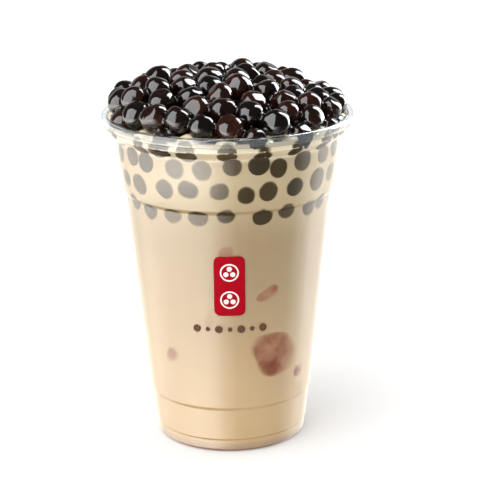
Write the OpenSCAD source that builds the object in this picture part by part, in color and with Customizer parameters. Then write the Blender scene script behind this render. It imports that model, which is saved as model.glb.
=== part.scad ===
// Take-away cup of milk tea, heaped with tapioca pearls.
// The cup is one thin clear sheet, drawn to shape. Its inner face also shapes the drink,
// and the heap of pearls starts at the drink's level and leans on the rim.
// The origin is the middle of the standing ring, with +Z up.

/* [Cup] */
// Height of the cup to the crest of its rolled rim
cup_h = 127; // [80:0.5:190]
// Outer diameter of the rolled rim
rim_d = 95; // [92:0.5:114]
// Diameter of the neck, just under the ledge
neck_d = 84.5; // [81:0.5:90]
// Diameter of the upper band where it starts at the stacking step
band_d = 79.8; // [79:0.1:84]
// Diameter of the body under the stacking step
body_d = 78; // [60:0.5:79.5]
// Diameter of the base above its rounded heel
base_d = 57.4; // [50:0.1:76]
// Thickness of the sheet
wall = 0.6; // [0.4:0.05:0.9]

/* [Rim] */
// Free width inside the rolled rim
roll_gap = 1.4; // [0.8:0.1:2]
// How far the rolled rim's outer skirt hangs below the crest
roll_drop = 3.2; // [2.5:0.1:5]
// Height from the ledge to the crest
lip_h = 6.2; // [5.5:0.1:8]
// Height of the flare from the neck to the ledge
flare_h = 2.5; // [1.5:0.1:4]
// Height of the upper band, from the stacking step to the neck
band_h = 20.2; // [10:0.1:26]
// Height of the stacking step itself
step_h = 1.1; // [0.5:0.1:2]
// How far the upper band bows out past its straight line
band_bow = 0.3; // [0:0.05:0.6]

/* [Base] */
// Height of the raised middle of the base
punt_h = 3.2; // [2:0.1:3.8]
// Diameter of the raised middle
punt_d = 45; // [36:0.5:47]
// Width of the flat ring that the cup stands on
ring_w = 1.4; // [1:0.1:2]
// Radius of the rounded heel
heel_r = 1.6; // [1:0.1:2.2]
// Height of the line round the base
base_line_h = 4.9; // [4:0.1:7]
// How far the wall steps out at that line
base_line_out = 0.25; // [0.1:0.05:0.5]
// Height of the foot line above it
foot_line_h = 17.8; // [13:0.1:24]
// How far the wall steps out at the foot line
foot_line_out = 0.45; // [0.2:0.05:0.8]

/* [Drink] */
// Level of the drink below the crest of the rim
fill_drop = 6.9; // [6.4:0.1:8.2]

/* [Pearls] */
// Mean diameter of a pearl
pearl_d = 10.4; // [8.4:0.1:11.5]
// Share by which a pearl's diameter may differ from the mean
pearl_vary = 0.1; // [0:0.01:0.15]
// Height of the heap above the crest of the rim
heap_rise = 16.4; // [12:0.1:20]
// Height of the heap's edge above the crest
edge_rise = 6.4; // [5:0.1:8]
// Fullness of the heap's shoulders; 2 is a plain dome
heap_full = 2.5; // [2:0.1:4]
// Distance from one pearl to the next, as a share of the diameter
pearl_pitch = 0.93; // [0.85:0.01:1.1]
// Clearance between the pearls and the cup
pearl_gap = 0.3; // [0.2:0.05:0.6]

/* [Hidden] */

turn_fn = 96;       // facets round the turned shapes
core_fn = 24;       // facets round the core of the heap
pearl_fn = 8;       // facets round a pearl
golden = 137.508;   // turn from one pearl of the spiral to the next, in degrees

// Radii and heights of the lip and the ledge
rim_r = rim_d / 2;
leg_r = rim_r - wall - roll_gap;    // face of the lip's inner leg inside the roll
lip_in_r = leg_r - wall;
roll_r = roll_gap / 2;
ledge_z = cup_h - lip_h;
neck_z = ledge_z - flare_h;
band_z = neck_z - band_h;
body_z = band_z - step_h;
level_z = cup_h - fill_drop;

// Standing ring
heel_out_r = base_d / 2;
ring_out_r = heel_out_r - heel_r;
ring_in_r = ring_out_r - ring_w;

// Points of an arc about c from angle a to angle b
function arc(c, r, a, b, n) = [for (i = [0 : n]) c + r * [cos(a + (b - a) * i / n), sin(a + (b - a) * i / n)]];

// Radius of the body's straight wall at height z, before its two lines are cut in
function draft_r(z) = let (top = body_d / 2 - base_line_out - foot_line_out)
    heel_out_r + (top - heel_out_r) * (z - heel_r) / (body_z - heel_r);

// A small step out in the wall at height z, from one draft line to the next
function wall_step(z, before, out) = [
    [draft_r(z) + before, z],
    [draft_r(z + 2 * out) + before + out, z + 2 * out]
];

// Under face of the sheet, from the middle of the base to the free edge of the rolled rim
band_steps = 6;
under_face = concat(
    [[0, punt_h], [punt_d / 2, punt_h], [ring_in_r, 0]],
    arc([ring_out_r, heel_r], heel_r, -90, -6, 5),
    wall_step(base_line_h, 0, base_line_out),
    wall_step(foot_line_h, base_line_out, foot_line_out),
    [[body_d / 2, body_z]],
    [for (i = [0 : band_steps]) let (t = i / band_steps)
        [(band_d + (neck_d - band_d) * t) / 2 + band_bow * sin(180 * t), band_z + band_h * t]],
    [[leg_r - flare_h / 4, ledge_z - flare_h / 8], [leg_r, ledge_z + flare_h / 8]],
    arc([leg_r + roll_r, cup_h - wall - roll_r], roll_r, 180, 0, 8),
    [[leg_r + roll_gap, cup_h - roll_drop]]
);

// The same face moved by t to its left, with mitred corners
function left(a, b) = let (d = (b - a) / norm(b - a)) [-d[1], d[0]];
function corner(n, m, t) = t * (n + m) / (1 + n * m);
function moved(path, t) = let (last = len(path) - 1) [for (i = [0 : last])
    let (before = left(path[max(i - 1, 0)], path[max(i, 1)]),
         after = left(path[min(i, last - 1)], path[min(i + 1, last)]))
    path[i] + corner(before, after, t)];
upper_face = moved(under_face, wall);

// What lies inside the cup, up to the height of the lip's inner leg
inside_face = [for (p = upper_face) if (p[0] <= lip_in_r + wall / 2 && p[1] < cup_h - wall - roll_r) p];

// Repeatable value from 0 to 1 for each whole number
function chance(i, salt) = let (v = sin(i * 127.1 + salt * 311.7) * 437.585) v - floor(v);

// Heap: height of the layer of pearl centres at radius r, from a domed surface less half a pearl
pearl_r = pearl_d / 2;
heap_r = lip_in_r + roll_r - pearl_r;
function layer_z(r) = cup_h + heap_rise - pearl_r - (heap_rise - edge_rise) * pow(r / heap_r, heap_full);
pitch = pearl_d * pearl_pitch;
edge_count = floor(2 * PI * heap_r / pitch);
crown_r = heap_r - pitch / 2;
crown_count = floor(PI * pow(crown_r, 2) / (sqrt(3) / 2 * pitch * pitch));

// Lower ring of pearls, half sunk in the drink under the heap's edge
low_r = neck_d / 2 - wall - pearl_r;
low_z = level_z + pearl_r / 2;
low_count = floor(2 * PI * low_r / pearl_d);

// One pearl, a little flattened and turned its own way
module pearl(i) {
    d = pearl_d * (1 + pearl_vary * (2 * chance(i, 1) - 1));
    rotate([360 * chance(i, 2), 360 * chance(i, 3), 0])
        scale([1, 0.97, 0.92])
            hull() sphere(d = d, $fn = pearl_fn);
}

// Core of the heap, through the middles of the outer pearls
module heap_core() {
    dome_steps = 4;
    rotate_extrude($fn = core_fn)
        polygon(concat(
            [[0, level_z], [low_r, level_z], [low_r, low_z]],
            [for (i = [dome_steps : -1 : 0]) let (r = heap_r * i / dome_steps) [r, layer_z(r) - pearl_r / 4]]
        ));
}

// Room that the heap may fill: the top of the cup less the clearance, and the free space above it
module heap_room() {
    top_z = cup_h + heap_rise + pearl_d;
    rotate_extrude($fn = turn_fn)
        polygon([
            [0, level_z],
            [neck_d / 2 - wall - pearl_gap, level_z],
            [lip_in_r - pearl_gap, ledge_z + wall],
            [lip_in_r - pearl_gap, cup_h],
            [lip_in_r + wall, cup_h + pearl_gap],
            [rim_r - pearl_gap, cup_h + wall],
            [rim_r - pearl_gap, top_z],
            [0, top_z]
        ]);
}

module cup() {
    color("lightsteelblue", 0.35)
        rotate_extrude($fn = turn_fn)
            polygon(concat(under_face, [for (i = [len(upper_face) - 1 : -1 : 0]) upper_face[i]]));
}

module milk_tea() {
    color("burlywood")
        intersection() {
            rotate_extrude($fn = turn_fn)
                polygon(concat(inside_face, [[0, inside_face[len(inside_face) - 1][1]]]));
            cylinder(h = level_z, r = rim_r, $fn = turn_fn);
        }
}

module pearl_heap() {
    color("#2b1a15")
        intersection() {
            heap_room();
            union() {
                heap_core();
                for (i = [0 : crown_count - 1])
                    let (r = crown_r * sqrt((i + 0.5) / crown_count))
                        rotate(i * golden)
                            translate([r, 0, layer_z(r) + pearl_r * 0.5 * (chance(i, 4) - 0.5)])
                                pearl(i);
                for (i = [0 : edge_count - 1])
                    rotate(i * 360 / edge_count)
                        translate([heap_r, 0, layer_z(heap_r) + pearl_r * 0.5 * (chance(i, 5) - 0.5)])
                            pearl(crown_count + i);
                for (i = [0 : low_count - 1])
                    rotate(i * 360 / low_count)
                        translate([low_r, 0, low_z])
                            pearl(crown_count + edge_count + i);
            }
        }
}

cup();
milk_tea();
pearl_heap();
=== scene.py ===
"""Looks of a take-away cup of milk tea heaped with tapioca pearls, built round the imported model.

All sizes are in metres, in the model's own frame: the cup stands on z = 0 and its print faces -Y.
"""

import math

import bmesh
import bpy
import numpy as np
from bpy.props import FloatProperty, FloatVectorProperty, IntProperty, PointerProperty
from mathutils import Matrix, Vector


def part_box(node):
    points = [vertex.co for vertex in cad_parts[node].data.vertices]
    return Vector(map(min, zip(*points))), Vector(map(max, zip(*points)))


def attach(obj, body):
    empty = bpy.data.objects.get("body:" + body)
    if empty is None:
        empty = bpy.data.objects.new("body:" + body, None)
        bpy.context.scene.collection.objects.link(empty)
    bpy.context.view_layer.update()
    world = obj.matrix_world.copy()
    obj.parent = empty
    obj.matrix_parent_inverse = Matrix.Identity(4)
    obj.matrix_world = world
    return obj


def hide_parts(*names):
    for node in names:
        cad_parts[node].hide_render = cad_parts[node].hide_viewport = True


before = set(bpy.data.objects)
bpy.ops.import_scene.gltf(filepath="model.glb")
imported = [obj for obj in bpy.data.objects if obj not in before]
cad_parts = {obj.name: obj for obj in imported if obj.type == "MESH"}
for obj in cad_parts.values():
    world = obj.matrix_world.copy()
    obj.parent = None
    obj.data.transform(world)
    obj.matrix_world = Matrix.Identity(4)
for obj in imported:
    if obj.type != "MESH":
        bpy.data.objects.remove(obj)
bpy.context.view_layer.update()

bl_info = {
    "name": "Bubble tea",
    "version": (1, 0, 0),
    "blender": (4, 5, 0),
    "location": "View3D > Sidebar > Bubble tea",
    "description": "Builds a clear cup of milk tea with tapioca pearls, and a studio round it",
    "category": "Object",
}

MM = 0.001
CUP_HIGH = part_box("cup")[1]
DRINK_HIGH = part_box("milk_tea")[1]
HEAP_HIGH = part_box("pearl_heap")[1]

# Heights between which the milk tea's colour changes: painted shade in the heel, painted light from below
# that fades upwards, paler round the pearls, and painted light behind the lip
HEEL_SHADE_ZONE = (1.5 * MM, 4.5 * MM)
LOW_LIGHT_ZONE = (6.0 * MM, 100.0 * MM)
PEARL_ZONE = (82.0 * MM, 108.0 * MM)
LIP_LIGHT_ZONE = (116.5 * MM, 118.5 * MM)
CREAM_SHEEN = (0.84, 0.96, 0.9, 1.0)

# The heap's outline: its edge over the rim, its lean to the left and the fullness of its shoulders
HEAP_EDGE = 6.4 * MM
HEAP_LEAN = 0.07
HEAP_FULLNESS = 2.4

# Radiance round the horizon, by azimuth in degrees: 0 is the camera's side, and it grows to the right.
# Gloss sees the table's glow under the horizon; matt surfaces see the soft light
TABLE_GLOW = (
    (-180, 0.8), (-136, 1.5), (-105, 3.6), (-61, 6.6), (-35, 6.8), (-22, 5.4), (-10, 3.0), (8, 0.6),
    (30, 0.05), (66, 0.15), (80, 0.5), (95, 1.6), (115, 2.6), (143, 1.5), (180, 0.8),
)
SOFT_LIGHT = (
    (-180, 1.1), (-120, 1.2), (-60, 2.3), (-25, 2.7), (5, 1.35), (40, 0.45), (70, 0.65), (110, 1.4),
    (180, 1.1),
)
# Panels seen in gloss: first and last azimuth, softness of those edges, height of the top edge, radiance
PANELS = (
    (-98.0, -19.0, 2.5, 0.93, 7.0),
    (106.0, 142.0, 3.0, 0.87, 20.0),
)
DIM_ROOM = 0.1
BACK_GLOW = 0.65
BACK_EDGE = 135.0
BACK_SOFT = 20.0
DIM_TABLE = 0.05
# Heights of a direction, from -1 down to 1 up, between which each glow begins or ends
HORIZON = (-0.16, -0.08)
NEAR_TABLE = (-0.82, -0.62)
FAR_TABLE = (-0.56, -0.42)
BACK_TOP = (0.35, 0.6)
TOP_SOFT = 0.03
WARM_TABLE = (1.0, 0.95, 0.87, 1.0)
COOL_ROOM = (0.96, 0.99, 1.0, 1.0)
WHITE = (1.0, 1.0, 1.0, 1.0)


# ---- settings

def length(name, description, default, **more):
    """A length property, given in millimetres and kept in metres."""
    return FloatProperty(name=name, description=description, default=default * MM,
                         unit="LENGTH", precision=5, **more)


def colour(name, description, default):
    """A linear colour property."""
    return FloatVectorProperty(name=name, description=description, default=default,
                               subtype="COLOR", size=3, min=0.0, max=1.0)


def angle(name, description, degrees):
    """An angle property, given in degrees."""
    return FloatProperty(name=name, description=description, default=math.radians(degrees),
                         subtype="ANGLE")


class CupSettings(bpy.types.PropertyGroup):
    """Sizes of the cup's thin sheet"""
    wall: length("Wall", "Thickness of the sheet", 0.6)
    neck_r: length("Neck radius", "Outer radius under the ledge", 42.25)
    band_r: length("Band radius", "Outer radius of the band above the stacking step", 39.9)
    body_r: length("Body radius", "Outer radius of the body under the stacking step", 39.0)
    base_r: length("Base radius", "Outer radius of the base above the heel", 28.7)
    roll_gap: length("Roll gap", "Free width inside the rolled rim", 1.4)
    roll_drop: length("Roll drop", "How far the rim's skirt hangs below the crest", 3.2)
    lip_h: length("Lip height", "Height from the ledge to the crest", 6.2)
    flare_h: length("Flare height", "Height of the flare from the neck to the ledge", 2.5)
    band_h: length("Band height", "Height of the upper band", 20.2)
    step_h: length("Step height", "Height of the stacking step", 1.1)
    band_bow: length("Band bow", "How far the band bows out", 0.3)
    punt_h: length("Punt height", "Height of the raised middle of the base", 3.2)
    punt_r: length("Punt radius", "Radius of the raised middle of the base", 22.5)
    ring_w: length("Ring width", "Width of the ring that the cup stands on", 1.4)
    heel_r: length("Heel radius", "Radius of the rounded heel", 1.6)
    base_line_h: length("Base line height", "Height of the line round the base", 4.9)
    base_line_out: length("Base line step", "Step out of the wall at that line", 0.25)
    foot_line_h: length("Foot line height", "Height of the foot line", 17.8)
    foot_line_out: length("Foot line step", "Step out of the wall at the foot line", 0.45)
    round_r: length("Rounding", "Radius that softens the sheet's corners", 0.45)
    segments: IntProperty(name="Segments", description="Faces round the cup", default=192, min=24)
    tint: colour("Tint", "Colour of the clear plastic", (0.97, 0.98, 0.985))
    rim_tint: colour("Rim tint", "Colour of the plastic in the rim and the ledge", (0.93, 0.96, 0.98))
    rim_edge: colour("Rim edge", "Colour of that plastic seen edge on", (0.6, 0.69, 0.75))


class DrinkSettings(bpy.types.PropertyGroup):
    """Sizes and colours of the milk tea, and of what is sunk in it"""
    reach: length("Reach", "How far the drink reaches into the wall", 0.1)
    press: length("Press", "How far sunk things reach past the drink's own face", 0.03)
    meniscus: length("Meniscus", "Height that the drink climbs at the wall", 4.6)
    milk: colour("Milk tea", "Colour halfway up", (0.36, 0.19, 0.036))
    milk_top: colour("Milk tea at the pearls", "Colour round the sunk pearls", (0.58, 0.4, 0.18))
    # Pale colour behind the lip and the flare: painted light where the milk lies in shade under the ledge
    milk_lip: colour("Milk tea at the ledge", "Colour behind the lip, where it is thin", (0.98, 0.8, 0.55))
    # Darker colour just over the base: painted shade in the heel
    milk_heel: colour("Milk tea in the heel", "Colour just over the base", (0.5, 0.28, 0.16))
    # Paler colour towards the base: painted light from the floor below
    milk_pale: colour("Pale milk tea", "Colour near the base, where more milk shows", (0.69, 0.44, 0.185))
    sunk_dark: colour("Sunk pearl", "Colour of a pearl close behind the wall", (0.026, 0.016, 0.005))
    sunk_pale: colour("Veiled pearl", "Colour of a pearl behind a film of milk", (0.085, 0.05, 0.012))
    ice: colour("Ice", "Colour of the tea round the ice", (0.29, 0.075, 0.035))
    ice_pale: colour("Pale ice", "Colour where more milk lies over the ice", (0.47, 0.19, 0.09))


class PearlSettings(bpy.types.PropertyGroup):
    """Sizes and colours of the tapioca pearls"""
    radius: length("Radius", "Mean radius of a pearl", 5.3)
    vary: FloatProperty(name="Variation", description="Share by which radii differ from the mean",
                        default=0.1, min=0.0, max=0.2)
    heap_count: IntProperty(name="Heaped pearls", description="Pearls in the heap", default=146, min=1)
    seed: IntProperty(name="Seed", description="Seed of the pearls' order", default=7)
    film: length("Film voxel", "Fineness of the syrup film between the pearls", 0.6)
    dark: colour("Dark", "Colour of most pearls", (0.0045, 0.0025, 0.002))
    brown: colour("Brown", "Colour of the lighter pearls", (0.032, 0.008, 0.0035))


class PrintSettings(bpy.types.PropertyGroup):
    """Sizes and colours of the print on the cup's front"""
    badge_w: length("Badge width", "Width of the red field", 11.6)
    badge_h: length("Badge height", "Height of the red field", 23.6)
    badge_z: length("Badge height above the base", "Height of the red field's middle", 69.0)
    rule_w: length("Rule width", "Width of the brown rule", 25.0)
    rule_z: length("Rule height", "Height of the brown rule", 51.6)
    ink: length("Ink thickness", "How far the ink stands off the cup", 0.03)
    red: colour("Red", "Colour of the field", (0.35, 0.002, 0.01))
    white: colour("White", "Colour of the marks on the field", (0.9, 0.86, 0.82))
    brown: colour("Brown", "Colour of the rule", (0.12, 0.06, 0.035))


class StageSettings(bpy.types.PropertyGroup):
    """Camera, lights and floor"""
    aim_z: length("Aim height", "Height of the point that the camera turns round", 62.0)
    distance: length("Distance", "Distance from that point to the camera", 700.0)
    elevation: angle("Elevation", "Camera angle above the level", 17.97)
    roll: angle("Roll", "Turn of the camera about its own axis", -0.74)
    lens: FloatProperty(name="Lens", description="Focal length in millimetres on a 36 mm sensor",
                        default=135.8)
    pan: angle("Pan", "Turn of the camera to the right of the axis", 0.336)
    tilt: angle("Tilt", "Turn of the camera up from the aim point", 1.083)
    floor: colour("Floor", "Colour of the floor", (0.8, 0.8, 0.8))
    floor_r: length("Floor radius", "Radius of the round floor", 1500.0)
    floor_drop: length("Floor drop", "How far the floor lies under the cup", 0.2)
    floor_glow: FloatProperty(name="Floor glow", description="Light from the floor", default=0.13)


GROUPS = {
    "tea_cup": CupSettings,
    "tea_drink": DrinkSettings,
    "tea_pearls": PearlSettings,
    "tea_print": PrintSettings,
    "tea_stage": StageSettings,
}


# ---- shaders

def arithmetic(operation, swapped=False):
    """A method that adds a Math node. The socket is its first input, or its second when swapped."""
    def method(self, other):
        first, second = (other, self) if swapped else (self, other)
        return self.math(operation, first, second)
    return method


class Socket:
    """One output of a shader node. Sums of sockets and numbers add Math nodes."""

    def __init__(self, shader, socket):
        self.shader = shader
        self.socket = socket

    def of(self, output):
        """Another output of the same node."""
        return Socket(self.shader, self.socket.node.outputs[output])

    def math(self, operation, first, second=0.0):
        return self.shader.node("ShaderNodeMath", {"operation": operation}, {0: first, 1: second})

    def clamped(self):
        return self.math("MINIMUM", self.math("MAXIMUM", self, 0.0), 1.0)

    __add__ = arithmetic("ADD")
    __radd__ = arithmetic("ADD", swapped=True)
    __sub__ = arithmetic("SUBTRACT")
    __rsub__ = arithmetic("SUBTRACT", swapped=True)
    __mul__ = arithmetic("MULTIPLY")
    __rmul__ = arithmetic("MULTIPLY", swapped=True)


class Shader:
    """The node tree of a material or of the world."""

    def __init__(self, tree):
        self.tree = tree
        tree.nodes.clear()

    def node(self, kind, settings=None, inputs=None, output=0):
        """Adds a node: first its settings, then the values or links of its sockets."""
        node = self.tree.nodes.new(kind)
        for name, value in (settings or {}).items():
            if name == "stops":
                ramp = node.color_ramp.elements
                while len(ramp) < len(value):
                    ramp.new(1.0)
                for element, (place, shade) in zip(ramp, value):
                    element.position = place
                    element.color = shade
            else:
                setattr(node, name, value)
        for name, value in (inputs or {}).items():
            if isinstance(value, Socket):
                self.tree.links.new(value.socket, node.inputs[name])
            else:
                node.inputs[name].default_value = value
        return Socket(self, node.outputs[output]) if node.outputs else None

    def mix(self, factor, first, second):
        """A colour between two others."""
        return self.node("ShaderNodeMix", {"data_type": "RGBA"}, {0: factor, 6: first, 7: second}, 2)

    def gloss(self, inputs):
        """A plain surface, opaque unless its inputs say otherwise."""
        return self.node("ShaderNodeBsdfPrincipled", None, inputs)

    def blend(self, factor, first, second):
        """A surface between two others."""
        return self.node("ShaderNodeMixShader", None, {0: factor, 1: first, 2: second})

    def place(self):
        """Position on the object, in metres."""
        return self.node("ShaderNodeTexCoord").of("Object")

    def noise(self, scale, detail=2.0, roughness=0.5):
        return self.node("ShaderNodeTexNoise", None, {
            "Vector": self.place(), "Scale": scale, "Detail": detail, "Roughness": roughness})

    def attribute(self, name):
        """A value kept on the mesh."""
        return self.node("ShaderNodeAttribute", {"attribute_name": name}).of("Fac")

    def ramp(self, value, low, high):
        """0 under low, 1 over high, smooth between."""
        return self.node("ShaderNodeMapRange", {"interpolation_type": "SMOOTHSTEP"},
                         {"Value": value, "From Min": low, "From Max": high})

    def between(self, value, low, high, soft):
        """1 from low to high, 0 outside, with soft edges."""
        begun = self.ramp(value, low - soft, low + soft)
        return begun * (1.0 - self.ramp(value, high - soft, high + soft))

    def around(self, azimuth, glow):
        """Radiance round the horizon, from pairs of azimuth in degrees and radiance."""
        top = max(level for _, level in glow)
        stops = [(turn / 360 + 0.5, (level / top,) * 3 + (1.0,)) for turn, level in glow]
        return self.node("ShaderNodeValToRGB", {"stops": stops}, {0: azimuth}) * top

    def bump(self, height, distance):
        return self.node("ShaderNodeBump", None, {"Height": height, "Distance": distance})


def rgba(shade):
    """A colour property as four numbers."""
    return (*shade, 1.0)


def material(surface):
    """Turns surface(shader, settings) into a function of the settings that makes the material."""
    def make(settings):
        made = bpy.data.materials.new(surface.__name__)
        made.use_nodes = True
        shader = Shader(made.node_tree)
        shader.node("ShaderNodeOutputMaterial", None, {"Surface": surface(shader, settings)})
        return made
    return make


@material
def clear_plastic(shader, cup):
    """Thin clear sheet that lets light through to what it holds. The rim is darker seen edge on."""
    ripple = shader.noise(60.0, 1.0)
    rim = shader.attribute("rim")
    tint = shader.mix(rim, rgba(cup.tint), rgba(cup.rim_tint))
    facing = shader.node("ShaderNodeLayerWeight", None, {0: 0.5}).of("Facing")
    tint = shader.mix(rim * facing * facing, tint, rgba(cup.rim_edge))
    sheet = shader.gloss({"Base Color": tint, "Roughness": 0.02, "IOR": 1.49,
                          "Transmission Weight": 1.0, "Normal": shader.bump(ripple, 0.012 * MM)})
    open_way = shader.node("ShaderNodeBsdfTransparent", None, {"Color": rgba(cup.tint)})
    shadow = shader.node("ShaderNodeLightPath").of("Is Shadow Ray")
    return shader.blend(shadow, sheet, open_way)


def milk_colour(shader, drink):
    """Milk tea: browner halfway up, paler towards the base with painted light from below, paler round the
    pearls, paler behind the lip with painted light, darker in the heel with painted shade, and cloudy.
    """
    height = shader.node("ShaderNodeSeparateXYZ", None, {0: shader.place()}).of("Z")
    clouds = (shader.noise(26.0, 3.0) - 0.5) * 0.5
    # Paler towards the base, fading upwards: painted light from below, broken up by the clouds
    lit_from_below = (1.0 - shader.ramp(height, *LOW_LIGHT_ZONE) + clouds).clamped()
    shade = shader.mix(lit_from_below, rgba(drink.milk), rgba(drink.milk_pale))
    cloudy_height = height + clouds * (15.0 * MM)
    shade = shader.mix(shader.ramp(cloudy_height, *PEARL_ZONE), shade, rgba(drink.milk_top))
    # Paler behind the lip: painted light over the shade under the ledge
    shade = shader.mix(shader.ramp(height, *LIP_LIGHT_ZONE), shade, rgba(drink.milk_lip))
    # Darker just over the base: painted shade in the heel
    return shader.mix(shader.ramp(height, *HEEL_SHADE_ZONE), rgba(drink.milk_heel), shade)


def milk_surface(shader, drink):
    """The milk tea against the wall, with the soft sheen that cream gives it."""
    return shader.gloss({"Base Color": milk_colour(shader, drink), "Roughness": 0.2, "IOR": 2.25,
                         "Specular Tint": CREAM_SHEEN})


@material
def milk_tea(shader, drink):
    """Milk tea."""
    return milk_surface(shader, drink)


@material
def sunk_pearl(shader, drink):
    """Tapioca behind the wall: dark where it presses on it, veiled by milk towards its edge."""
    tone = shader.mix(shader.attribute("tone"), rgba(drink.sunk_dark), rgba(drink.sunk_pale))
    pearl = shader.gloss({"Base Color": tone, "Roughness": 0.5, "IOR": 1.1})
    milk = milk_surface(shader, drink)
    return shader.blend(shader.attribute("veil"), pearl, milk)


@material
def sunk_ice(shader, drink):
    """Ice behind the wall, where the tea shows darker and redder through thin milk."""
    cloud = shader.ramp(shader.noise(130.0, 3.0), 0.3, 0.7)
    veil = shader.attribute("veil")
    veil = (veil + (1.0 - veil) * cloud * 0.4).clamped()
    shade = shader.mix(cloud, rgba(drink.ice), rgba(drink.ice_pale))
    ice = shader.gloss({"Base Color": shade, "Roughness": 0.5, "IOR": 1.34})
    return shader.blend(veil, ice, milk_surface(shader, drink))


@material
def wet_pearl(shader, pearls):
    """Wet, glossy, nearly black tapioca with a brown glow in some pearls."""
    tone = shader.attribute("tone")
    cloud = 0.35 + shader.ramp(shader.noise(220.0, 2.0), 0.35, 0.7)
    shade = shader.mix((tone * cloud).clamped(), rgba(pearls.dark), rgba(pearls.brown))
    dimples = shader.noise(330.0, 2.0, 0.45)
    roughness = 0.025 + shader.noise(400.0) * 0.03
    return shader.gloss({"Base Color": shade, "Roughness": roughness, "IOR": 1.47,
                         "Normal": shader.bump(dimples, 0.1 * MM)})


@material
def syrup(shader, pearls):
    """Dark syrup that fills the creases between the pearls."""
    cloud = shader.ramp(shader.noise(300.0, 2.0), 0.4, 0.8)
    ripple = shader.noise(500.0, 1.0)
    shade = shader.mix(cloud * 0.4, rgba(pearls.dark), rgba(pearls.brown))
    roughness = 0.02 + shader.noise(250.0) * 0.03
    return shader.gloss({"Base Color": shade, "Roughness": roughness, "IOR": 1.45,
                         "Normal": shader.bump(ripple, 0.05 * MM)})


@material
def ink(shader, shade):
    """Flat print, with a faint grain."""
    grain = shader.ramp(shader.noise(900.0, 2.0), 0.2, 0.8)
    worn = tuple(0.9 * part for part in shade)
    tone = shader.mix(grain, rgba(worn), rgba(shade))
    return shader.gloss({"Base Color": tone, "Roughness": 0.6, "IOR": 1.12})


@material
def pale_floor(shader, stage):
    """Matt floor with a faint light of its own."""
    return shader.gloss({"Base Color": rgba(stage.floor), "Roughness": 1.0, "Specular IOR Level": 0.0,
                         "Emission Color": WHITE, "Emission Strength": stage.floor_glow})


# ---- outlines

def arc(centre, radius, start, end, steps):
    """Points on an arc, with angles in degrees."""
    angles = np.radians(np.linspace(start, end, steps + 1))
    return [(centre[0] + radius * math.cos(a), centre[1] + radius * math.sin(a)) for a in angles]


def rounded(path, radius, steps=3):
    """The path with each corner replaced by a short curve."""
    points = [np.array(p, dtype=float) for p in path]
    result = [points[0]]
    for before, corner, after in zip(points, points[1:], points[2:]):
        back, ahead = before - corner, after - corner
        reach = min(radius, 0.45 * np.linalg.norm(back), 0.45 * np.linalg.norm(ahead))
        start = corner + back / np.linalg.norm(back) * reach
        end = corner + ahead / np.linalg.norm(ahead) * reach
        for t in np.linspace(0.0, 1.0, steps + 1):
            result.append((1 - t) ** 2 * start + 2 * t * (1 - t) * corner + t ** 2 * end)
    result.append(points[-1])
    return np.array(result)


def moved(path, distance):
    """The path moved to its left, with mitred corners."""
    path = np.asarray(path)
    step = np.diff(path, axis=0)
    step /= np.linalg.norm(step, axis=1)[:, None]
    normal = np.stack([-step[:, 1], step[:, 0]], axis=1)
    before = np.vstack([normal[:1], normal])
    after = np.vstack([normal, normal[-1:]])
    mitre = (before + after) / (1.0 + (before * after).sum(axis=1))[:, None]
    return path + distance * mitre


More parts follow.
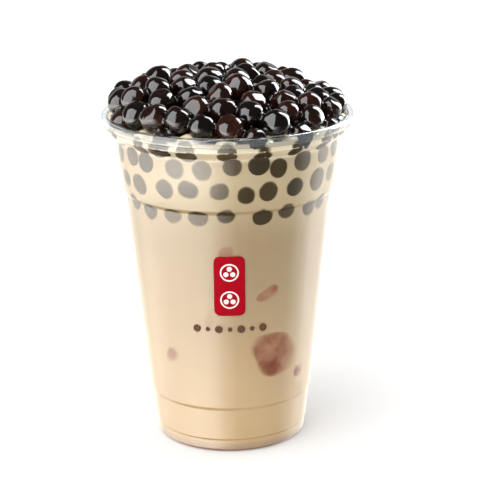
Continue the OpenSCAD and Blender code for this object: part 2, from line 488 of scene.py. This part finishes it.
class CupShape:
    """The cup's outline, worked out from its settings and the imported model's box."""

    def __init__(self, cup):
        self.cup = cup
        self.height = CUP_HIGH[2]
        self.rim_r = CUP_HIGH[0]
        self.leg_r = self.rim_r - cup.wall - cup.roll_gap
        self.lip_in_r = self.leg_r - cup.wall
        self.roll_r = cup.roll_gap / 2
        self.ledge_z = self.height - cup.lip_h
        self.neck_z = self.ledge_z - cup.flare_h
        self.band_z = self.neck_z - cup.band_h
        self.body_z = self.band_z - cup.step_h
        self.level_z = DRINK_HIGH[2]
        self.under = self.under_face()

    def draft_r(self, z):
        """Outer radius of the straight wall, before its two lines are cut in."""
        cup = self.cup
        top = cup.body_r - cup.base_line_out - cup.foot_line_out
        return cup.base_r + (top - cup.base_r) * (z - cup.heel_r) / (self.body_z - cup.heel_r)

    def wall_step(self, z, before, out):
        """A small step out in the wall."""
        return [(self.draft_r(z) + before, z), (self.draft_r(z + 2 * out) + before + out, z + 2 * out)]

    def under_face(self):
        """Outer face of the sheet, from the middle of the base to the rolled rim's free edge."""
        cup = self.cup
        ring_out = cup.base_r - cup.heel_r
        middle = (self.leg_r + self.roll_r, self.height - cup.wall - self.roll_r)
        band = []
        for t in np.linspace(0.0, 1.0, 7):
            bow = cup.band_bow * math.sin(math.pi * t)
            band.append((cup.band_r + (cup.neck_r - cup.band_r) * t + bow, self.band_z + cup.band_h * t))
        wall = [(0.0, cup.punt_h), (cup.punt_r, cup.punt_h), (ring_out - cup.ring_w, 0.0)]
        wall += arc((ring_out, cup.heel_r), cup.heel_r, -90, -6, 6)
        wall += self.wall_step(cup.base_line_h, 0.0, cup.base_line_out)
        wall += self.wall_step(cup.foot_line_h, cup.base_line_out, cup.foot_line_out)
        wall += [(cup.body_r, self.body_z)] + band
        wall += [(self.leg_r - cup.flare_h / 4, self.ledge_z - cup.flare_h / 8),
                 (self.leg_r, self.ledge_z + cup.flare_h / 8),
                 (self.leg_r, middle[1])]
        roll = arc(middle, self.roll_r, 180, 0, 10)
        roll.append((self.leg_r + cup.roll_gap, self.height - cup.roll_drop))
        return np.vstack([rounded(wall, cup.round_r), roll[1:]])

    def sheet(self):
        """Closed outline of the sheet: its outer face, its rounded free edge, its inner face back."""
        upper = moved(self.under, self.cup.wall)
        middle = (self.under[-1] + upper[-1]) / 2
        edge = arc(middle, self.cup.wall / 2, 180, 360, 6)
        return np.vstack([self.under[:-1], edge, upper[:-1][::-1]])

    def inside(self, reach=0.0):
        """Inner face up to the lip, moved into the wall by reach."""
        face = moved(self.under, self.cup.wall - reach)
        top = self.height - self.cup.wall - self.roll_r
        keep = (face[:, 0] < self.lip_in_r + self.cup.wall) & (face[:, 1] < top)
        return face[keep]

    def side(self, face):
        """The part of a face that is above the heel and outside the raised base."""
        return face[(face[:, 1] > self.cup.heel_r) & (face[:, 0] > self.cup.punt_r * 1.1)]

    def inner_r(self, z, reach=0.0):
        """Inner radius at height z, above the heel."""
        face = self.side(self.inside(reach))
        return np.interp(z, face[:, 1], face[:, 0])

    def room_r(self, z, press):
        """How far out things may reach at height z: into the wall by press, over the roll above it."""
        face = self.side(self.inside(press))
        middle = (self.leg_r + self.roll_r, self.height - self.cup.wall - self.roll_r)
        over = arc(middle, self.roll_r + self.cup.wall - press, 180, 80, 12)
        path = np.vstack([face, over, [(self.rim_r - 0.4 * MM, self.height + 1.0 * MM)]])
        path = path[np.concatenate([[True], np.diff(np.maximum.accumulate(path[:, 1])) > 0])]
        return np.interp(z, path[:, 1], path[:, 0])

    def outer_r(self, z):
        """Outer radius of the body's wall at height z."""
        face = self.side(self.under)
        return float(np.interp(z, face[:, 1], face[:, 0]))


# ---- meshes

def new_object(name, verts, faces):
    """A mesh object in the scene."""
    mesh = bpy.data.meshes.new(name)
    mesh.from_pydata([tuple(v) for v in verts], [], [tuple(f) for f in faces])
    thing = bpy.data.objects.new(name, mesh)
    bpy.context.scene.collection.objects.link(thing)
    return thing


def add_object(name, verts, faces, paint, values=None):
    """A smooth object that rides on the cup's body. values gives numbers kept on its vertices."""
    thing = new_object(name, verts, faces)
    mesh = thing.data
    mesh.validate()
    for key, numbers in (values or {}).items():
        layer = mesh.attributes.new(key, "FLOAT", "POINT")
        layer.data.foreach_set("value", np.asarray(numbers, dtype=np.float32))
    mesh.shade_smooth()
    mesh.materials.append(paint)
    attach(thing, "root")
    return thing


def turned(outline, segments):
    """Verts and faces of an outline turned about Z. Points on the axis become one vertex."""
    verts, rows = [], []
    angles = math.tau * np.arange(segments) / segments
    for r, z in outline:
        if r < 1e-7:
            rows.append([len(verts)] * segments)
            verts.append((0.0, 0.0, z))
        else:
            rows.append(list(range(len(verts), len(verts) + segments)))
            verts += [(r * math.sin(a), -r * math.cos(a), z) for a in angles]
    faces = []
    for low, high in zip(rows, rows[1:]):
        for i in range(segments):
            j = (i + 1) % segments
            corners = [low[i], low[j], high[j], high[i]]
            unique = list(dict.fromkeys(corners))
            if len(unique) > 2:
                faces.append(unique)
    return verts, faces


def unit_ball(subdivisions):
    """Verts and faces of an icosphere of radius 1."""
    shape = bmesh.new()
    bmesh.ops.create_icosphere(shape, subdivisions=subdivisions, radius=1.0)
    verts = np.array([v.co[:] for v in shape.verts])
    faces = np.array([[v.index for v in f.verts] for f in shape.faces])
    shape.free()
    return verts, faces


def from_axis(spots):
    """Distance of each spot from Z."""
    return np.hypot(spots[:, 0], spots[:, 1])


def joined(parts):
    """Several (verts, faces, values) put into one."""
    verts, faces, values, start = [], [], {}, 0
    for part_verts, part_faces, part_values in parts:
        verts.append(part_verts)
        faces += [[start + i for i in face] for face in part_faces]
        for key, numbers in part_values.items():
            values.setdefault(key, []).append(numbers)
        start += len(part_verts)
    return np.vstack(verts), faces, {key: np.concatenate(v) for key, v in values.items()}


def turn_at_random(rng):
    """A random rotation matrix."""
    q = rng.normal(size=4)
    q /= np.linalg.norm(q)
    w, x, y, z = q
    return np.array([
        [1 - 2 * (y * y + z * z), 2 * (x * y - z * w), 2 * (x * z + y * w)],
        [2 * (x * y + z * w), 1 - 2 * (x * x + z * z), 2 * (y * z - x * w)],
        [2 * (x * z - y * w), 2 * (y * z + x * w), 1 - 2 * (x * x + y * y)],
    ])


def lumpy(directions, rng, lump=0.03, dents=4, dent=0.1):
    """Radius factor of a soft ball in each direction: low waves and a few shallow dents."""
    factor = np.ones(len(directions))
    for _ in range(4):
        wave = rng.normal(size=3) * 2.2
        factor += lump * np.sin(directions @ wave + rng.uniform(0, math.tau)) / 2
    for _ in range(dents):
        way = rng.normal(size=3)
        way /= np.linalg.norm(way)
        width = rng.uniform(0.4, 0.75)
        facing = np.arccos(np.clip(directions @ way, -1, 1))
        factor -= dent * rng.uniform(0.4, 1.0) * np.exp(-(facing / width) ** 2)
    return factor


def melted(verts, faces, voxel, rounds):
    """The outer skin of overlapping closed shapes, with its creases filled softly."""
    thing = new_object("melting", verts, faces)
    skin = thing.modifiers.new("skin", "REMESH")
    skin.mode = "VOXEL"
    skin.voxel_size = voxel
    soften = thing.modifiers.new("soften", "SMOOTH")
    soften.factor = 0.5
    soften.iterations = rounds
    done = thing.evaluated_get(bpy.context.evaluated_depsgraph_get())
    result = bpy.data.meshes.new_from_object(done)
    spots = np.array([v.co[:] for v in result.vertices])
    normals = np.array([v.normal[:] for v in result.vertices])
    skin_faces = [tuple(f.vertices) for f in result.polygons]
    mesh = thing.data
    bpy.data.objects.remove(thing)
    bpy.data.meshes.remove(mesh)
    bpy.data.meshes.remove(result)
    return spots, normals, skin_faces


def kept(verts, faces, keep):
    """Only the faces whose verts are all kept, and the verts that they use."""
    faces = [face for face in faces if all(keep[i] for i in face)]
    used = sorted({i for face in faces for i in face})
    place = {old: new for new, old in enumerate(used)}
    return verts[used], [tuple(place[i] for i in face) for face in faces]


def in_largest(count, faces):
    """Which of the verts belong to the largest connected piece of the mesh."""
    edges = np.array([(face[i], face[i - 1]) for face in faces for i in range(len(face))])
    label = np.arange(count)
    while True:
        low = label[edges].min(axis=1)
        lower = label.copy()
        np.minimum.at(lower, edges[:, 0], low)
        np.minimum.at(lower, edges[:, 1], low)
        lower = lower[lower]
        if (lower == label).all():
            return label == np.bincount(label).argmax()
        label = lower


def flattened(verts, way, distance, soft):
    """Verts pressed softly onto the plane at distance along way."""
    past = verts @ way - distance
    cut = np.where(past > 4 * soft, past, soft * np.log1p(np.exp(np.minimum(past / soft, 30))))
    return verts - cut[:, None] * way


# ---- the heap of pearls

def dome_z(shape, r, x=0.0):
    """Top of the heap at radius r. It leans a little to the left."""
    rise = HEAP_HIGH[2] - shape.height - 0.3 * MM
    fall = rise - HEAP_EDGE
    out = r / shape.lip_in_r
    lean = -HEAP_LEAN * x * np.clip(1 - out ** 4, 0, 1)
    return np.minimum(shape.height + rise - fall * out ** HEAP_FULLNESS + lean, shape.height + rise)


def packed_heap(shape, pearls):
    """Centres and radii of the heap's pearls, pushed apart until they only press on each other."""
    steps, closeness, stiffness = 700, 0.93, 0.35
    drift = 0.04 * MM
    deepest = 4.0 * MM
    rng = np.random.default_rng(pearls.seed)
    count = pearls.heap_count
    radii = pearls.radius * (1 + pearls.vary * rng.uniform(-1, 1, count))
    press = rng.uniform(0.0, 2.4, count) * MM
    span = np.sqrt(rng.uniform(0, 1, count)) * (shape.rim_r - pearls.radius)
    turn = rng.uniform(0, math.tau, count)
    low = shape.level_z
    height = low + rng.uniform(0, 1, count) * (dome_z(shape, span) - pearls.radius - low)
    centres = np.stack([span * np.sin(turn), -span * np.cos(turn), height], axis=1)
    bump = rng.uniform(-1.6, 1.2, count) * MM
    roll_r = shape.roll_r + shape.cup.wall
    roll = np.array([shape.leg_r + shape.roll_r, shape.height - roll_r])
    outmost = shape.rim_r - 2.2 * MM
    for _ in range(steps):
        centres[:, 2] += drift
        offset = centres[:, None] - centres[None]
        gap = np.linalg.norm(offset, axis=2)
        np.fill_diagonal(gap, 1.0)
        overlap = np.clip((radii[:, None] + radii[None]) * closeness - gap, 0, None)
        centres += (offset / gap[..., None] * overlap[..., None]).sum(axis=1) * stiffness
        r = from_axis(centres)
        low_down = centres[:, 2] < shape.height - roll_r
        wall = np.where(low_down, shape.inner_r(centres[:, 2]) + press, outmost) - radii
        centres[:, :2] *= np.minimum(1.0, wall / np.maximum(r, 1e-6))[:, None]
        r = from_axis(centres)
        away = np.stack([r, centres[:, 2]], axis=1) - roll
        far = np.linalg.norm(away, axis=1)
        push = np.clip(radii - press + roll_r - far, 0, None)[:, None] * away / far[:, None]
        centres[:, :2] *= ((r + push[:, 0]) / np.maximum(r, 1e-6))[:, None]
        centres[:, 2] += push[:, 1]
        r = from_axis(centres)
        top = np.minimum(dome_z(shape, r, centres[:, 0]) + bump, HEAP_HIGH[2] - 0.1 * MM)
        centres[:, 2] = np.clip(centres[:, 2], low - deepest, top - radii)
    return centres, radii


def heap_parts(shape, pearls):
    """A soft ball for each heaped pearl, a little flat where it meets its neighbours."""
    rng = np.random.default_rng(pearls.seed + 1)
    centres, radii = packed_heap(shape, pearls)
    ball, faces = unit_ball(4)
    flat_soft, soft = 0.22 * MM, 0.25 * MM
    gap, press = 0.03 * MM, 0.16 * MM
    parts = []
    for i, (centre, radius) in enumerate(zip(centres, radii)):
        directions = ball @ turn_at_random(rng).T
        squash = 1 + rng.uniform(-0.05, 0.03, 3)
        verts = directions * lumpy(directions, rng, 0.055, 4, 0.15)[:, None] * radius * squash
        for _ in range(rng.integers(3, 7)):
            way = rng.normal(size=3)
            depth = radius * rng.uniform(0.84, 0.95)
            verts = flattened(verts, way / np.linalg.norm(way), depth, flat_soft)
        for j in np.nonzero(np.linalg.norm(centres - centre, axis=1) < radius + radii.max())[0]:
            apart = centres[j] - centre
            distance = np.linalg.norm(apart)
            if j != i and distance < radius + radii[j]:
                plane = (distance + radius - radii[j]) / 2 - gap
                verts = flattened(verts, apart / distance, plane, soft)
        verts = within(shape, verts + centre, press)
        tone = np.full(len(verts), rng.uniform(0, 1) ** 2)
        parts.append((verts, faces, {"tone": tone}))
    return parts


def within(shape, verts, press):
    """Verts kept inside the cup, or pressed into its wall by press."""
    r = from_axis(verts)
    fit = np.minimum(1.0, shape.room_r(verts[:, 2], press) / np.maximum(r, 1e-9))
    verts[:, :2] *= fit[:, None]
    return verts


def heap_core(shape, pearls):
    """A plain dome under the outer pearls, so that the film has no hole."""
    edge_r = shape.inner_r(shape.level_z) - 0.8 * pearls.radius
    foot_z = shape.level_z - 1.5 * MM
    outline = [(0.0, foot_z), (edge_r, foot_z)]
    for t in np.linspace(1.0, 0.0, 8):
        outline.append((edge_r * t, dome_z(shape, edge_r * t) - 1.9 * pearls.radius))
    verts, faces = turned(outline, 64)
    return np.array(verts), faces, {"tone": np.zeros(len(verts))}


# ---- things sunk in the drink

def pressed(shape, verts, limit, soft):
    """Verts kept within the wall, and how much milk veils each one.

    A point that would lie past the wall is moved onto it, and shows the clearer the further past."""
    r = from_axis(verts)
    wall = shape.inner_r(verts[:, 2], limit)
    past = r - wall
    scale = np.where(past > 0, wall / np.maximum(r, 1e-9), 1.0)
    moved_verts = verts.copy()
    moved_verts[:, :2] *= scale[:, None]
    t = np.clip(past / soft, 0, 1)
    return moved_verts, 1 - t * t * (3 - 2 * t)


def facing_ball(rings, segments):
    """A unit ball with its pole on +X, and with rings close together round the pole."""
    polar = math.pi * np.linspace(0, 1, rings + 1) ** 1.25
    verts = [(1.0, 0.0, 0.0)]
    for off_pole in polar[1:-1]:
        ahead, across = math.cos(off_pole), math.sin(off_pole)
        for turn in math.tau * np.arange(segments) / segments:
            verts.append((ahead, across * math.cos(turn), across * math.sin(turn)))
    verts.append((-1.0, 0.0, 0.0))
    last = len(verts) - 1
    faces = []
    for i in range(segments):
        j = (i + 1) % segments
        faces.append((0, 1 + i, 1 + j))
        for ring in range(rings - 2):
            a, b = 1 + ring * segments, 1 + (ring + 1) * segments
            faces.append((a + i, b + i, b + j, a + j))
        a = 1 + (rings - 2) * segments
        faces.append((a + j, a + i, last))
    return np.array(verts), faces


def sunk_places(shape, pearls, rng):
    """Angle, height, radius and reach past the wall of each pearl behind the wall."""
    places = []
    rows, row_gap = 3, 9.2 * MM
    top_row_z = shape.level_z - 5.0 * MM
    lip_row_z = shape.level_z + 1.9 * MM
    for row in range(rows):
        z = top_row_z - row * row_gap
        count = int(math.tau * shape.inner_r(z) / (1.95 * pearls.radius))
        for i in range(count):
            turn = math.tau * (i + 0.5 * (row % 2) + rng.uniform(-0.2, 0.2)) / count
            radius = pearls.radius * rng.uniform(0.84, 0.98)
            reach = rng.uniform(1.6, 2.6) * MM
            places.append((turn, z + rng.uniform(-1.2, 1.2) * MM, radius, reach))
    count = int(math.tau * shape.inner_r(lip_row_z) / (2.4 * pearls.radius))
    for i in range(count):
        turn = math.tau * (i + rng.uniform(-0.25, 0.25)) / count
        radius = pearls.radius * rng.uniform(0.8, 0.95)
        reach = rng.uniform(1.0, 2.2) * MM
        places.append((turn, lip_row_z, radius, reach))
    return places


def pressed_part(shape, drink, verts, turn, z, middle_r, soft):
    """Verts facing +X, set behind the wall at angle turn from the front, and the milk that veils them."""
    cos_t, sin_t = math.cos(turn - math.pi / 2), math.sin(turn - math.pi / 2)
    x = verts[:, 0] + middle_r
    spots = np.stack([x * cos_t - verts[:, 1] * sin_t, x * sin_t + verts[:, 1] * cos_t,
                      verts[:, 2] + z], axis=1)
    return pressed(shape, spots, drink.reach + drink.press, soft)


def sunk_parts(shape, drink, pearls):
    """The pearls behind the wall, each flattened against it."""
    rng = np.random.default_rng(pearls.seed + 2)
    ball, faces = facing_ball(18, 36)
    parts = []
    for turn, z, radius, reach in sunk_places(shape, pearls, rng):
        size = radius * (1 + rng.uniform(-0.07, 0.07, 3))
        verts = ball * lumpy(ball, rng, 0.03, 3, 0.05)[:, None] * size
        middle_r = shape.inner_r(z) - radius + reach
        spots, veil = pressed_part(shape, drink, verts, turn, z, middle_r, 0.6 * MM)
        clear = rng.uniform(0.86, 1.0)
        tone = np.full(len(spots), rng.uniform(0, 1))
        parts.append((spots, faces, {"tone": tone, "veil": 1 - clear * (1 - veil)}))
    return parts


# Ice that touches the wall: degrees from the front, height, size along the wall, up and in, lean in
# degrees, and how far it shows through the milk. Lengths are in millimetres
ICE = (
    (30, 40.5, (20.0, 20.0, 16.0), 18, 1.0),
    (23, 64.5, (10.0, 5.2, 6.0), 32, 1.0),
    (-2, 82.6, (5.6, 4.2, 5.0), 10, 0.9),
    (-42, 38.5, (6.0, 6.2, 5.0), -20, 0.95),
    (-13, 54.5, (4.6, 6.0, 5.0), -30, 0.5),
    (53, 29.5, (5.0, 6.0, 5.0), -20, 1.0),
    (56, 21.0, (7.0, 8.0, 5.0), 0, 0.4),
    (70, 14.0, (9.0, 6.0, 6.0), 0, 0.35),
    (128, 52.0, (14.0, 12.0, 12.0), 30, 0.9),
    (165, 30.0, (10.0, 12.0, 10.0), -15, 0.7),
    (-152, 66.0, (13.0, 9.0, 10.0), -35, 0.85),
    (-110, 24.0, (11.0, 12.0, 10.0), 20, 0.8),
    (-98, 78.0, (6.0, 4.0, 5.0), 15, 0.5),
)


def ice_parts(shape, drink, seed):
    """Worn ice cubes behind the wall, softly veiled by milk."""
    rng = np.random.default_rng(seed)
    squareness, edge, edge_share = 2.5, 4.4 * MM, 0.45
    ball, faces = facing_ball(26, 56)
    cube = ball / (np.abs(ball) ** squareness).sum(axis=1)[:, None] ** (1 / squareness)
    parts = []
    for azimuth, z, (along, up, deep), lean, shows in ICE:
        verts = cube * lumpy(ball, rng, 0.09, 6, 0.25)[:, None] * np.array([deep, along, up]) * MM / 2
        yaw = Matrix.Rotation(rng.uniform(-0.2, 0.2), 3, "Z")
        tilt = Matrix.Rotation(math.radians(lean), 3, "X")
        verts = verts @ np.array(yaw).T @ np.array(tilt).T
        soft = min(edge, edge_share * min(along, up) * MM)
        middle_r = shape.inner_r(z * MM + verts[:, 2]) - verts[:, 0].max() + 1.25 * soft
        spots, veil = pressed_part(shape, drink, verts, math.radians(azimuth), z * MM, middle_r, soft)
        parts.append((spots, faces, {"veil": 1 - shows * (1 - veil)}))
    return parts


# ---- print

def rounded_field(width, height, corner, steps=8):
    """Outline of a rounded rectangle about the origin."""
    points = []
    for turn, (x, y) in enumerate([(1, 1), (-1, 1), (-1, -1), (1, -1)]):
        middle = (x * (width / 2 - corner), y * (height / 2 - corner))
        points += arc(middle, corner, 90 * turn, 90 * turn + 90, steps)
    points = np.array(points)
    ahead = np.roll(points, -1, axis=0)
    fine = []
    for start, end in zip(points, ahead):
        parts = max(1, round(np.linalg.norm(end - start) / MM))
        fine += [start + (end - start) * i / parts for i in range(parts)]
    return np.array(fine)


def disc(radius, steps=32):
    """Outline of a disc about the origin."""
    return np.array(arc((0.0, 0.0), radius, 0, 360 - 360 / steps, steps - 1))


def printed(shape, outline, middle, low, high, hole=0.0, rings=10):
    """A thin closed layer of ink on the wall's front. Middle is (across, height), hole is a share."""
    rows = [(share, high) for share in np.linspace(hole, 1.0, rings + 1)]
    rows += [(share, low) for share in np.linspace(1.0, hole, rings + 1)]
    verts = []
    for share, lift in rows:
        for across, up in outline * max(share, 0.002):
            z = middle[1] + up
            r = shape.outer_r(z) + lift
            turn = (middle[0] + across) / r
            verts.append((r * math.sin(turn), -r * math.cos(turn), z))
    count = len(outline)
    faces = []
    for row in range(len(rows)):
        below = (row + 1) % len(rows)
        for i in range(count):
            j = (i + 1) % count
            faces.append((row * count + i, below * count + i, below * count + j, row * count + j))
    return np.array(verts), faces, {}


# ---- operators

class TEA_OT_cup(bpy.types.Operator):
    """Builds the clear cup as one thin turned sheet"""
    bl_idname = "tea.cup"
    bl_label = "Cup"

    def execute(self, context):
        cup = context.scene.tea_cup
        shape = CupShape(cup)
        verts, faces = turned(shape.sheet(), cup.segments)
        height = np.array([v[2] for v in verts])
        rim = np.clip((height - shape.ledge_z + 0.6 * MM) / (0.8 * MM), 0, 1)
        shell = add_object("cup_shell", verts, faces, clear_plastic(cup), {"rim": rim})
        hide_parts("cup")
        return {"FINISHED"}


class TEA_OT_drink(bpy.types.Operator):
    """Builds the milk tea up to its level, reaching just into the wall"""
    bl_idname = "tea.drink"
    bl_label = "Milk tea"

    def execute(self, context):
        drink = context.scene.tea_drink
        shape = CupShape(context.scene.tea_cup)
        side = shape.inside(drink.reach)
        top = shape.level_z + drink.meniscus
        side = np.vstack([side[side[:, 1] < top], [(shape.inner_r(top, drink.reach), top)]])
        edge_r = side[-1][0]
        fall = 1.6 * MM
        away = 5 * fall * np.linspace(0.0, 1.0, 14)[1:] ** 1.6
        climb = [(edge_r - d, shape.level_z + drink.meniscus * math.exp(-d / fall)) for d in away]
        surface = [(r, shape.level_z) for r in np.linspace(edge_r - 6 * fall, 0.0, 9)]
        verts, faces = turned(np.vstack([side, climb, surface]), 192)
        tea = add_object("milk_tea_drink", verts, faces, milk_tea(drink))
        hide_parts("milk_tea")
        return {"FINISHED"}


class TEA_OT_sunk(bpy.types.Operator):
    """Builds the pearls and the ice that show through the wall"""
    bl_idname = "tea.sunk"
    bl_label = "Sunk pearls and ice"

    def execute(self, context):
        drink = context.scene.tea_drink
        pearls = context.scene.tea_pearls
        shape = CupShape(context.scene.tea_cup)
        verts, faces, values = joined(sunk_parts(shape, drink, pearls))
        add_object("pearls_sunk", verts, faces, sunk_pearl(drink), values)
        verts, faces, values = joined(ice_parts(shape, drink, pearls.seed + 3))
        add_object("ice_sunk", verts, faces, sunk_ice(drink), values)
        return {"FINISHED"}


class TEA_OT_heap(bpy.types.Operator):
    """Builds the heap of pearls, and the syrup that lies between them"""
    bl_idname = "tea.heap"
    bl_label = "Heaped pearls"

    def execute(self, context):
        pearls = context.scene.tea_pearls
        shape = CupShape(context.scene.tea_cup)
        parts = heap_parts(shape, pearls)
        verts, faces, values = joined(parts)
        heap = add_object("pearls_heap", verts, faces, wet_pearl(pearls), values)
        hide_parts("pearl_heap")
        verts, faces, values = joined(parts + [heap_core(shape, pearls)])
        spots, normals, faces = melted(verts, faces, pearls.film, rounds=6)
        sink, foot_z = 0.1 * MM, shape.level_z - 0.5 * MM
        spots = within(shape, spots - sink * normals, 0.0)
        shown = in_largest(len(spots), faces) & (spots[:, 2] > foot_z)
        spots, faces = kept(spots, faces, shown)
        film = add_object("pearl_syrup", spots, faces, syrup(pearls))
        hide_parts("pearl_heap")
        return {"FINISHED"}


class TEA_OT_print(bpy.types.Operator):
    """Prints a red field with plain white rings, and a row of brown dots under it"""
    bl_idname = "tea.print"
    bl_label = "Print"

    def execute(self, context):
        ink_set = context.scene.tea_print
        shape = CupShape(context.scene.tea_cup)
        low, mid, high = 0.004 * MM, ink_set.ink, 1.8 * ink_set.ink
        corner, ring_r, dot_r, dot_out = 2.3 * MM, 3.5 * MM, 0.95 * MM, 1.45 * MM
        field = rounded_field(ink_set.badge_w, ink_set.badge_h, corner)
        red = [printed(shape, field, (0.0, ink_set.badge_z), low, mid, rings=14)]
        white, brown = [], []
        for side in (-1, 1):
            centre = (0.0, ink_set.badge_z + side * 0.23 * ink_set.badge_h)
            white.append(printed(shape, disc(ring_r), centre, mid, high, hole=0.84, rings=2))
            for turn in range(3):
                way = math.radians(90 + 120 * turn)
                dot = (dot_out * math.cos(way), centre[1] + dot_out * math.sin(way))
                white.append(printed(shape, disc(dot_r, 20), dot, mid, high, rings=3))
        step = ink_set.rule_w / 6
        for i in range(7):
            radius = (0.9 if i % 2 else 1.5) * MM
            middle = ((i - 3) * step, ink_set.rule_z)
            brown.append(printed(shape, disc(radius, 20), middle, low, mid, rings=3))
        for name, parts in (("red", red), ("white", white), ("brown", brown)):
            verts, faces, _ = joined(parts)
            paint = ink(getattr(ink_set, name))
            paint.name = "ink_" + name
            add_object("print_" + name, verts, faces, paint)
        return {"FINISHED"}


class TEA_OT_stage(bpy.types.Operator):
    """Builds the floor, the lights and the camera"""
    bl_idname = "tea.stage"
    bl_label = "Stage"

    def execute(self, context):
        stage = context.scene.tea_stage
        self.add_floor(stage)
        self.add_studio()
        self.add_camera(stage)
        context.scene.view_settings.view_transform = "Standard"
        return {"FINISHED"}

    def add_floor(self, stage):
        verts, faces = turned([(0.0, -stage.floor_drop), (stage.floor_r, -stage.floor_drop)], 64)
        floor = new_object("floor", verts, [f[::-1] for f in faces])
        floor.data.materials.append(pale_floor(stage))
        floor.visible_glossy = False

    def add_studio(self):
        """A studio as seen from the cup: panels for gloss, and even light for matt surfaces."""
        world = bpy.data.worlds.new("studio")
        world.use_nodes = True
        bpy.context.scene.world = world
        shader = Shader(world.node_tree)
        direction = shader.node("ShaderNodeTexCoord").of("Generated")
        way = shader.node("ShaderNodeSeparateXYZ", None, {0: direction})
        azimuth = way.math("ARCTAN2", way.of("X"), 0.0 - way.of("Y")) * (0.5 / math.pi) + 0.5
        degrees = (azimuth - 0.5) * 360.0
        height = way.of("Z")
        back = 1.0 - shader.between(degrees, -BACK_EDGE, BACK_EDGE, BACK_SOFT)
        high = DIM_ROOM + BACK_GLOW * back * (1.0 - shader.ramp(height, *BACK_TOP))
        for first, last, soft, top, radiance in PANELS:
            width = shader.between(degrees, first, last, soft)
            high = high + radiance * width * (1.0 - shader.ramp(height, top - TOP_SOFT, top + TOP_SOFT))
        low = shader.around(azimuth, TABLE_GLOW) * shader.ramp(height, *NEAR_TABLE)
        low = low * (1.0 + 0.6 * shader.ramp(height, *FAR_TABLE)) + DIM_TABLE
        above = shader.ramp(height, *HORIZON)
        panels = low + above * (high - low)
        soft = shader.around(azimuth, SOFT_LIGHT)
        rays = shader.node("ShaderNodeLightPath")
        seen = rays.math("MAXIMUM", rays.of("Is Camera Ray"), rays.of("Is Transmission Ray"))
        glossy = rays.of("Is Glossy Ray")
        glow = soft + glossy * (panels - soft)
        glow = glow + seen * (1.0 - glow)
        tint = shader.mix(glossy, WHITE, shader.mix(above, WARM_TABLE, COOL_ROOM))
        surface = shader.node("ShaderNodeBackground", None, {"Color": tint, "Strength": glow})
        shader.node("ShaderNodeOutputWorld", None, {"Surface": surface})

    def add_camera(self, stage):
        data = bpy.data.cameras.new("camera")
        data.lens = stage.lens
        data.sensor_width = 36.0
        data.clip_end = 20.0
        camera = bpy.data.objects.new("camera", data)
        lift = stage.elevation
        away, up = stage.distance * math.cos(lift), stage.distance * math.sin(lift)
        place = Vector((0.0, -away, stage.aim_z + up))
        look = Matrix.Rotation(math.pi / 2 - lift, 4, "X")
        turns = (Matrix.Rotation(stage.roll, 4, "Z") @ Matrix.Rotation(-stage.pan, 4, "Y")
                 @ Matrix.Rotation(stage.tilt, 4, "X"))
        camera.matrix_world = Matrix.Translation(place) @ look @ turns
        bpy.context.scene.collection.objects.link(camera)
        bpy.context.scene.camera = camera


class TEA_PT_panel(bpy.types.Panel):
    """Buttons that build the cup of tea"""
    bl_idname = "TEA_PT_panel"
    bl_label = "Bubble tea"
    bl_space_type = "VIEW_3D"
    bl_region_type = "UI"
    bl_category = "Bubble tea"

    def draw(self, context):
        for step in STEPS:
            self.layout.operator(step.bl_idname)


STEPS = (TEA_OT_cup, TEA_OT_drink, TEA_OT_sunk, TEA_OT_heap, TEA_OT_print, TEA_OT_stage)
CLASSES = (*GROUPS.values(), *STEPS, TEA_PT_panel)


def register():
    for group in CLASSES:
        bpy.utils.register_class(group)
    for name, group in GROUPS.items():
        setattr(bpy.types.Scene, name, PointerProperty(type=group))


def unregister():
    for name in GROUPS:
        delattr(bpy.types.Scene, name)
    for group in reversed(CLASSES):
        bpy.utils.unregister_class(group)


def main():
    register()
    for step in STEPS:
        getattr(bpy.ops.tea, step.bl_idname.split(".")[1])()


if __name__ == "__main__":
    main()
